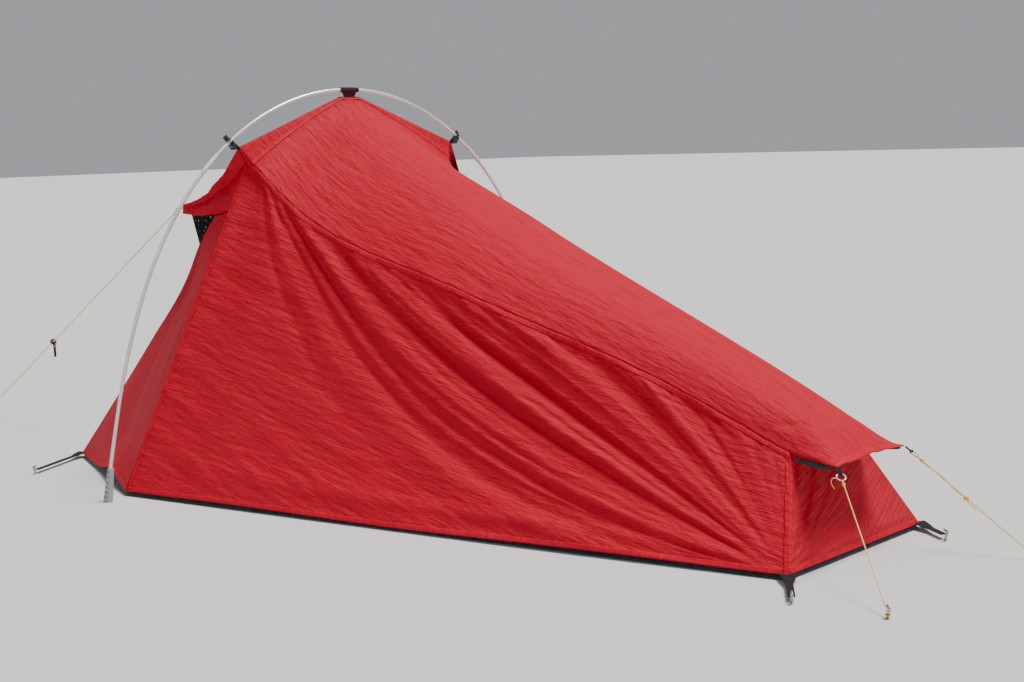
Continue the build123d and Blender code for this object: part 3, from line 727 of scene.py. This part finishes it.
def hood_points(u, v):
    """The hood's top and gores for v from 0 to 1, and its hanging hem beyond."""
    front, gore = hood_front(u)
    cover = np.clip(v, 0, 1)[..., None]
    points = hood_back(u) * (1 - cover) + front * cover
    ridge = np.exp(-(((np.minimum(u, 1 - u) - back_reach[2]) / 0.09) ** 2))
    points[..., 2] -= 0.034 * np.sin(pi * cover[..., 0]) * (0.25 + 0.75 * ridge)
    hang = np.clip(v - 1, 0, 1) / 0.2
    points[..., 2] -= hood_drop * hang * gore
    points[..., 0] -= (0.004 + 0.004 * wander(u * 60, 61)) * hang * gore
    side = np.sign(u - 0.5)
    bulge = np.sin(pi * cover[..., 0])
    hem_wave = 0.007 * wander(v * 16, 62) * np.exp(-((np.minimum(u, 1 - u) / 0.035) ** 2)) * bulge
    points[..., 1] += side * (hem_wave + 0.004 * bulge * (1 - gore))
    folds = 0.003 * wander(v * 9 + 2 * u, 63) + 0.0022 * wander(v * 21 - 3 * u, 64)
    return points + normals(points, (-1, 0, 1)) * (folds * bulge)[..., None]


u, v = grid(260, 64, v=(0, 1.2))
piece = lay_cloth("hood_cloth", hood_points(u, v), (-1, 0, 1), red_smooth, grain=radians(80))
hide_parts("hood_top", "hood_gore_near", "hood_gore_far")
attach(piece, "tent")
fit_sheet(piece)

# The webbing loop that sews each shoulder of the canopy to its side clip.
for side, name in both_sides:
    loop_at = Vector(point_on(side, shoulder)) + Vector((0, side * 0.003, 0.002))
    bpy.ops.mesh.primitive_cube_add(size=1, location=loop_at, rotation=(side * radians(48), 0, 0))
    loop = bpy.context.object
    loop.name = f"clip_loop_{name}"
    loop.scale = (0.014, 0.016, 0.007)
    bpy.ops.object.transform_apply(location=True, rotation=True, scale=True)
    edge = loop.modifiers.new("edge", "BEVEL")
    edge.width = 0.002
    edge.segments = 3
    bpy.ops.object.modifier_apply(modifier=edge.name)
    bpy.ops.object.shade_smooth()
    loop.data.materials.append(black_webbing)
    if side == NEAR:
        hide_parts("clip_tabs")
    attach(loop, "tent")

mesh_material, tree, shader = finish("insect_mesh", (0.01, 0.01, 0.012), 0.8, Specular_IOR_Level=0.1)
cells = add(tree, "ShaderNodeTexVoronoi", feature="DISTANCE_TO_EDGE", in_Scale=650.0)
where = place(tree, uv="Cloth")
tree.links.new(where, cells.inputs["Vector"])
threads = ramp(tree, cells.outputs["Distance"],
               [(0.0, (0.022, 0.022, 0.026)), (0.12, (0.002, 0.002, 0.003))])
glints = ramp(tree, noise(tree, where, 130, 2, 0.6), [(0.63, (0, 0, 0)), (0.68, (0.55, 0.55, 0.58))])
both = add(tree, "ShaderNodeMix", data_type="RGBA", blend_type="ADD", in_0=0.6)
tree.links.new(threads, both.inputs["A"])
tree.links.new(glints, both.inputs["B"])
tree.links.new(both.outputs["Result"], shader.inputs["Base Color"])
raise_up(tree, shader, cells.outputs["Distance"], 0.0006, 0.8)


def netting_tip(side):
    """The netting's upper corner, tucked in behind the hood's held tip."""
    return point_on(side, hood_tip) + np.array([0.012, -0.014 * side, -0.010])


u, v = grid(90, 24)
vent_top = straight(netting_tip(NEAR), netting_tip(FAR))
vent = between(vent_top, straight(point_on(NEAR, vent_sill), point_on(FAR, vent_sill)))(u, v)
vent = slack(vent, (-1, 0, 0), 71, 9, 0.004)
piece = lay_cloth("vent_netting", vent, (-1, 0, 0), mesh_material)
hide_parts("vent_mesh")
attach(piece, "tent")
fit_sheet(piece)
u, v = grid(30, 24, u=(0.01, 1))
for side, name in both_sides:
    sill = point_on(side, vent_sill)
    gusset_out = (-0.2, side, -0.1)
    root = point_on(side, flank_top) + np.array([0.006, -0.010 * side, 0.008])
    gusset = between(straight(sill, netting_tip(side)), straight(sill, root))(u, v)
    gusset = slack(gusset, gusset_out, 73, 6, 0.003)
    piece = lay_cloth(f"vent_gusset_{name}_netting", gusset, gusset_out, mesh_material)
    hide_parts(f"vent_gusset_{name}")
    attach(piece, "tent")
    fit_sheet(piece)

# ---------------------------------------------------------------------------------------------
# The foot end: an upright panel of the same nylon, sewn to the end of the roof in the shade of
# its awning. A dark padded roll of mesh closes each end of the awning.

foot_out = (1, 0, 0.3)


def foot_points(u, v):
    """The foot panel, with a fan of creases from its near low corner and a fold above its hem."""
    top = straight(point_on(NEAR, foot_top), point_on(FAR, foot_top))
    low = straight(point_on(NEAR, foot_hem), point_on(FAR, foot_hem))
    points = between(top, low)(u, v)
    away = np.hypot(u * 0.5, (v - 1) * 0.25)
    angle = np.arctan2(1 - v, u * 2 + 1e-6)
    fan = 0.045 * away * wander(angle * 9, 83) * np.exp(-away / 0.20) * np.clip(away / 0.03, 0, 1)
    fan *= np.clip(v / 0.15, 0, 1) * np.clip((1 - u) / 0.1, 0, 1)
    low_fold = 0.004 * np.exp(-((v - 0.86 - 0.03 * np.sin(3 * u)) / 0.05) ** 2) * np.sin(pi * u)
    return points + normals(points, foot_out) * (fan + low_fold)[..., None]


u, v = grid(110, 60)
piece = lay_cloth("foot_panel_cloth", foot_points(u, v), foot_out, red, grain=radians(-30))
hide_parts("foot_panel")
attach(piece, "tent")
fit_sheet(piece)

grey_mesh, tree, shader = finish("grey_padded_mesh", (0.05, 0.05, 0.055), 0.9)
where = place(tree)
tufts = noise(tree, where, 220, 4, 0.7)
paint(tree, shader, tufts, [(0.35, (0.008, 0.008, 0.012)), (0.65, (0.06, 0.06, 0.07))])
raise_up(tree, shader, noise(tree, where, 500, 3), 0.002, 0.8)


def outward_faces(piece, merge=0.0):
    """Turns the active piece's faces outward, after joining points closer than merge."""
    bpy.ops.object.mode_set(mode="EDIT")
    bpy.ops.mesh.select_all(action="SELECT")
    if merge:
        bpy.ops.mesh.remove_doubles(threshold=merge)
    bpy.ops.mesh.normals_make_consistent(inside=False)
    bpy.ops.object.mode_set(mode="OBJECT")


def ring_faces(levels, count):
    """The faces between closed rings, each of count points."""
    faces = []
    for i in range(levels - 1):
        low, high = i * count, (i + 1) * count
        for j in range(count):
            k = (j + 1) % count
            faces.append((low + j, low + k, high + k, high + j))
    return faces


t, ring = np.meshgrid(np.linspace(0, 1, 40), np.linspace(0, 2 * pi, 20, endpoint=False), indexing="ij")
fat = np.sin(pi * np.clip(t, 0, 1)) ** 0.6
bumps = 1 + 0.10 * wander(t * 22, 101) + 0.08 * wander(ring * 3 + t * 9, 103)
for side, name in both_sides:
    start = point_on(side, foot_top) + np.array([0.010, 0.002 * side, -0.006])
    end = point_on(side, awning_tip) + np.array([-0.006, -0.002 * side, -0.005])
    roll = start + (end - start) * t[..., None]
    roll[..., 2] -= 0.005 * fat
    roll[..., 1] -= side * 0.003 * fat
    roll[..., 1] += 0.006 * fat * bumps * np.cos(ring)
    roll[..., 2] += 0.0065 * fat * bumps * np.sin(ring)
    mesh = bpy.data.meshes.new(f"vent_roll_{name}")
    mesh.from_pydata(roll.reshape(-1, 3).tolist(), [], ring_faces(*t.shape))
    mesh.materials.append(grey_mesh)
    piece = show(f"vent_roll_{name}", mesh)
    outward_faces(piece, merge=0.00005)
    mesh.polygons.foreach_set("use_smooth", [True] * len(mesh.polygons))
    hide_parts(f"foot_gusset_{name}")
    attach(piece, "tent")

# ---------------------------------------------------------------------------------------------
# The seams and hems: folded strips of the same nylon, sewn down with two rows of thread along
# the roof seams, under the hoop, up the foot corners, across the shoulders and round the hem.

seam_red, tree, shader = finish("sewn_red_strip", (0.55, 0.002, 0.022), 0.6, Specular_IOR_Level=0.16)
flat = place(tree, uv="Cloth")
parts = add(tree, "ShaderNodeSeparateXYZ")
tree.links.new(flat, parts.inputs["Vector"])


def sum_of(tree, kind, a, b):
    """A maths node on two values, each a number or another node's result."""
    node = add(tree, "ShaderNodeMath", operation=kind)
    for socket, value in zip(node.inputs, (a, b)):
        if isinstance(value, (int, float)):
            socket.default_value = value
        else:
            tree.links.new(value, socket)
    return node.outputs["Value"]


strip_width = 0.012
stitch_pitch, stitch_length = 0.0022, 0.0014
row_from_middle, thread_half = 0.0035, 0.0007
dashes = sum_of(tree, "LESS_THAN", sum_of(tree, "PINGPONG", parts.outputs["X"], stitch_pitch), stitch_length)
from_middle = sum_of(tree, "ABSOLUTE", sum_of(tree, "SUBTRACT", parts.outputs["Y"], strip_width / 2), 0.0)
from_row = sum_of(tree, "ABSOLUTE", sum_of(tree, "SUBTRACT", from_middle, row_from_middle), 0.0)
stitch = sum_of(tree, "MULTIPLY", dashes, sum_of(tree, "LESS_THAN", from_row, thread_half))
# The strip's colour is painted shade in its crumples and painted light on their crowns.
shaded_crumples = noise(tree, place(tree, scale=(1, 0.4, 1), uv="Cloth"), 120, 4, 0.6)
paint(tree, shader, shaded_crumples, [(0.35, (0.46, 0.001, 0.016)), (0.65, (0.60, 0.003, 0.026))])
under = raise_up(tree, shader, shaded_crumples, 0.003, 0.6)
raise_up(tree, shader, sum_of(tree, "SUBTRACT", 1.0, stitch), 0.0006, 0.5, under)

strip_thick = 0.0006
proud = 0.0009             # how far a strip stands off the cloth below it
side_length = 1.75


def sew(name, surface, outward, path, across, centred=False):
    """A strip along a path over a surface, on one side of it or centred: path gives u and v at each
    t from 0 to 1, and across the change in u and v for a metre over the strip."""
    t, w = grid(200, 6)
    u0, v0 = (value + 0 * t for value in path(t))
    du, dv = (value + 0 * t for value in across(t))
    gap = strip_width * (w - 0.5) if centred else strip_width * w
    points = surface(u0 + du * gap, v0 + dv * gap)
    points = points + normals(points, outward) * (proud + 0.0005 * wander(t * 90, 7))[..., None]
    piece = lay_cloth(name, points, outward, seam_red, thick=strip_thick)
    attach(piece, "tent")


def side_height(u):
    """How far it is down the near side from seam to hem."""
    u = np.clip(u, 0, 1)
    return np.linalg.norm(seam_line(NEAR)(u) - hem_line(NEAR)(u), axis=-1)


def near_side(u, v):
    return side_points(NEAR, u, v)


def seam_u(t):
    return 0.03 + 0.97 * t


sew("seam_roof_near", near_side, near_out, lambda t: (seam_u(t), 0.003),
    lambda t: (0, 1 / side_height(seam_u(t))))
sew("hem_near", near_side, near_out, lambda t: (t, 0.9995), lambda t: (0, -1 / side_height(t)))
sew("seam_hoop_near", near_side, near_out, lambda t: (0.0005, 0.05 + 0.95 * t),
    lambda t: (1 / side_length, 0))
sew("seam_foot_corner_near", near_side, near_out, lambda t: (0.9998, 0.02 + 0.98 * t),
    lambda t: (-0.8 / side_length, 0))
sew("seam_foot_corner_front", foot_points, foot_out, lambda t: (0.0005, 0.04 + 0.96 * t),
    lambda t: (0.8 / (0.246 + 0.258 * t), 0))
sew("hem_foot", foot_points, foot_out, lambda t: (t, 0.9995), lambda t: (0, -4.4))
sew("seam_shoulders", cover_points, (0, 0, 1), lambda t: (0.006 + 0.026 * np.abs(2 * t - 1), t),
    lambda t: (0.55, 0), centred=True)
sew("hem_awning", cover_points, (0.3, 0, 1), lambda t: (1 + awning_share, t), lambda t: (-0.62, 0))


def bind(name, edge_rows, outward, body="tent"):
    """A strip along the first row of a cloth's own points, turned in over the rows behind it."""
    edge = edge_rows[:, 0]
    way = edge_rows[:, min(3, edge_rows.shape[1] - 1)] - edge
    way /= np.linalg.norm(way, axis=1, keepdims=True) + 1e-9
    w = np.linspace(0, strip_width, 5)
    points = edge[:, None, :] + way[:, None, :] * w[None, :, None]
    points = points + normals(points, outward) * proud
    piece = lay_cloth(name, points, outward, seam_red, thick=strip_thick)
    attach(piece, body)


bind("hem_head_wall", wall[::-1].transpose(1, 0, 2), wall_out)
bind("seam_wall_near", wall, wall_out)
bind("seam_wall_far", wall[:, ::-1], wall_out)
for side, name in both_sides:
    flank_out = (-0.3, side, 0.3)
    bind(f"hem_flank_{name}", flanks[name][::-1].transpose(1, 0, 2), flank_out)
    bind(f"seam_flank_{name}", flanks[name], flank_out)
bind("seam_roof_far", rear, far_out)
bind("hem_rear_far", rear[int(turn_at * (rear_columns - 1)) + 1:, ::-1], far_out)
bind("seam_foot_corner_far", rear[::-1].transpose(1, 0, 2)[1:-1], far_out)
bind("hem_strip_far", strip[::-1].transpose(1, 0, 2), far_out)
bind("seam_strip_far", strip[4:], far_out)
bind("hem_door", door[::-1].transpose(1, 0, 2)[2:-2], far_out, "door")
bind("zip_flap", door[3:], far_out, "door")

# ---------------------------------------------------------------------------------------------
# The corner patches: a triangle of doubled black webbing under the hem at each pegged corner,
# narrowing to the strap that runs to the peg.

patch_z = 0.0135
patch_thick = 0.0016
patch_under = 0.012        # how far a patch runs in under the hem
patch_half, strap_half = 0.021, 0.0085
pegged = [(NEAR, foot_hem, (1.772, -0.360)), (FAR, foot_hem, (1.778, 0.205)),
          (NEAR, head_hem, (-0.455, -0.816)), (FAR, head_hem, (-0.455, 0.816))]
u, v = grid(12, 10)
half = patch_half * (1 - u) + strap_half * u
for number, (side, corner, peg) in enumerate(pegged, 1):
    corner_at = point_on(side, (*corner[:2], patch_z))
    way = np.array([hoop_x + peg[0], peg[1], patch_z]) - corner_at
    reach = min(0.045, np.linalg.norm(way) * 0.6)
    way /= np.linalg.norm(way)
    beside = np.array([-way[1], way[0], 0])
    ahead = u * (reach + patch_under) - patch_under
    patch = corner_at + way * ahead[..., None] + beside * ((2 * v - 1) * half)[..., None]
    patch[..., 2] += 0.0012 * np.sin(pi * u) - 0.001 * u
    piece = lay_cloth(f"corner_patch_{number}", patch, (0, 0, 1), black_webbing, thick=patch_thick)
    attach(piece, "tent")

# ---------------------------------------------------------------------------------------------
# The groundsheet: a shallow tray of tough navy coated cloth whose turned-up edge shows as a
# dark band under the red hem.

navy, tree, shader = finish("navy_coated_cloth", (0.012, 0.014, 0.030), 0.55, Sheen_Weight=0.2)
where = place(tree)
paint(tree, shader, noise(tree, where, 60, 4), [(0.35, (0.006, 0.007, 0.016)), (0.7, (0.030, 0.034, 0.060))])
raise_up(tree, shader, noise(tree, where, 90, 4, 0.6), 0.006, 0.7)

wall_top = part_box("groundsheet")[1].z
floor_z = 0.0015
hems = (foot_hem, hoop_hem, head_hem)
outline = np.array([point_on(NEAR, p)[:2] for p in hems] + [point_on(FAR, p)[:2] for p in hems[::-1]])
edge_way = np.roll(outline, -1, axis=0) - outline
edge_lengths = np.linalg.norm(edge_way, axis=1)
edge_way /= edge_lengths[:, None]
edge_in = np.stack([-edge_way[:, 1], edge_way[:, 0]], axis=-1)
if np.dot(edge_in[0], outline.mean(axis=0) - outline[0]) < 0:
    edge_in = -edge_in


def inset(distance):
    """Points round the outline, moved in by a distance square to each side."""
    before = np.roll(edge_in, 1, axis=0)
    share = distance / (1 + np.sum(before * edge_in, axis=1, keepdims=True))
    corners = outline + (before + edge_in) * share
    loop = []
    for start, end, length in zip(corners, np.roll(corners, -1, axis=0), edge_lengths):
        t = np.linspace(0, 1, max(int(length / 0.02), 2), endpoint=False)[:, None]
        loop.append(start * (1 - t) + end * t)
    loop = np.concatenate(loop)
    return np.concatenate([loop, np.zeros((len(loop), 1))], axis=1)


rim = inset(0)
middle = rim.mean(axis=0)
walk = np.concatenate([[0], np.cumsum(np.linalg.norm(np.diff(rim, axis=0), axis=1))])
levels = []
for share in (0.8, 0.6, 0.4, 0.2, 0.06):
    level = rim + (middle - rim) * share
    level[:, 2] = floor_z + 0.001 * (1 + wander(walk * 9 + share * 20, 113))
    levels.append(level)
for share in np.linspace(0, 1, 9):
    level = inset(0.002 + 0.022 * share)
    ripple = 0.0016 * wander(walk * 17, 111) * (1 - share)
    level[:, :2] += (level[:, :2] - middle[:2]) * ripple[:, None]
    level[:, 2] = floor_z + wall_top * share
    levels.append(level)
count = len(rim)
verts = np.concatenate(levels).tolist() + [[middle[0], middle[1], floor_z]]
faces = ring_faces(len(levels), count)
faces += [(len(verts) - 1, (j + 1) % count, j) for j in range(count)]
mesh = bpy.data.meshes.new("groundsheet_cloth")
mesh.from_pydata(verts, [], faces)
mesh.materials.append(navy)
floor_piece = show("groundsheet_cloth", mesh)
outward_faces(floor_piece)
thicken(floor_piece, 0.0008, 1)
mesh.polygons.foreach_set("use_smooth", [True] * len(mesh.polygons))
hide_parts("groundsheet")
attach(floor_piece, "tent")

# ---------------------------------------------------------------------------------------------
# The floor, lights and camera: a pale studio floor, a soft sun high over the far side, a weak
# lamp from the foot end, and the camera low off the near foot corner.

bpy.ops.mesh.primitive_plane_add(size=120, location=(0, 0, 0))
ground = bpy.context.object
ground.name = "studio_floor"
pale_floor, tree, shader = finish("studio_floor", (0.62, 0.62, 0.61), 0.9)
ground.data.materials.append(pale_floor)

world = bpy.data.worlds.new("studio")
world.use_nodes = True
sky = world.node_tree.nodes["Background"]
sky.inputs["Color"].default_value = (0.92, 0.95, 1.0, 1)
sky.inputs["Strength"].default_value = 0.40
bpy.context.scene.world = world


def add_light(name, kind, at, towards, energy, colour, **more):
    """A light at one point that faces another."""
    data = bpy.data.lights.new(name, kind)
    data.energy = energy
    data.color = colour
    for key, value in more.items():
        setattr(data, key, value)
    light = bpy.data.objects.new(name, data)
    light.location = at
    light.rotation_euler = (Vector(towards) - Vector(at)).to_track_quat("-Z", "Y").to_euler()
    bpy.context.scene.collection.objects.link(light)


add_light("overhead", "SUN", (0.9, 1.4, 5.0), (0, 0, 0.3), 4.6, (1.0, 0.985, 0.96), angle=radians(22))
add_light("front", "AREA", (4.5, -4.5, 2.6), (0, 0, 0.4), 25, (0.95, 0.97, 1.0), size=3.0)

camera_at = (hoop_x + 3.268, -2.508, 0.883)
camera_roll = -0.02987
camera_data = bpy.data.cameras.new("camera")
camera_data.sensor_width = 36.0
camera_data.lens = 49.21875
camera = bpy.data.objects.new("camera", camera_data)
bpy.context.scene.collection.objects.link(camera)
forward = Vector((-0.71528, 0.68472, -0.13979)).normalized()
right = forward.cross(Vector((0, 0, 1))).normalized()
upward = right.cross(forward)
across = right * cos(camera_roll) + upward * sin(camera_roll)
upright = upward * cos(camera_roll) - right * sin(camera_roll)
turn = Matrix((across, upright, -forward)).transposed().to_4x4()
camera.matrix_world = Matrix.Translation(camera_at) @ turn
bpy.context.scene.camera = camera
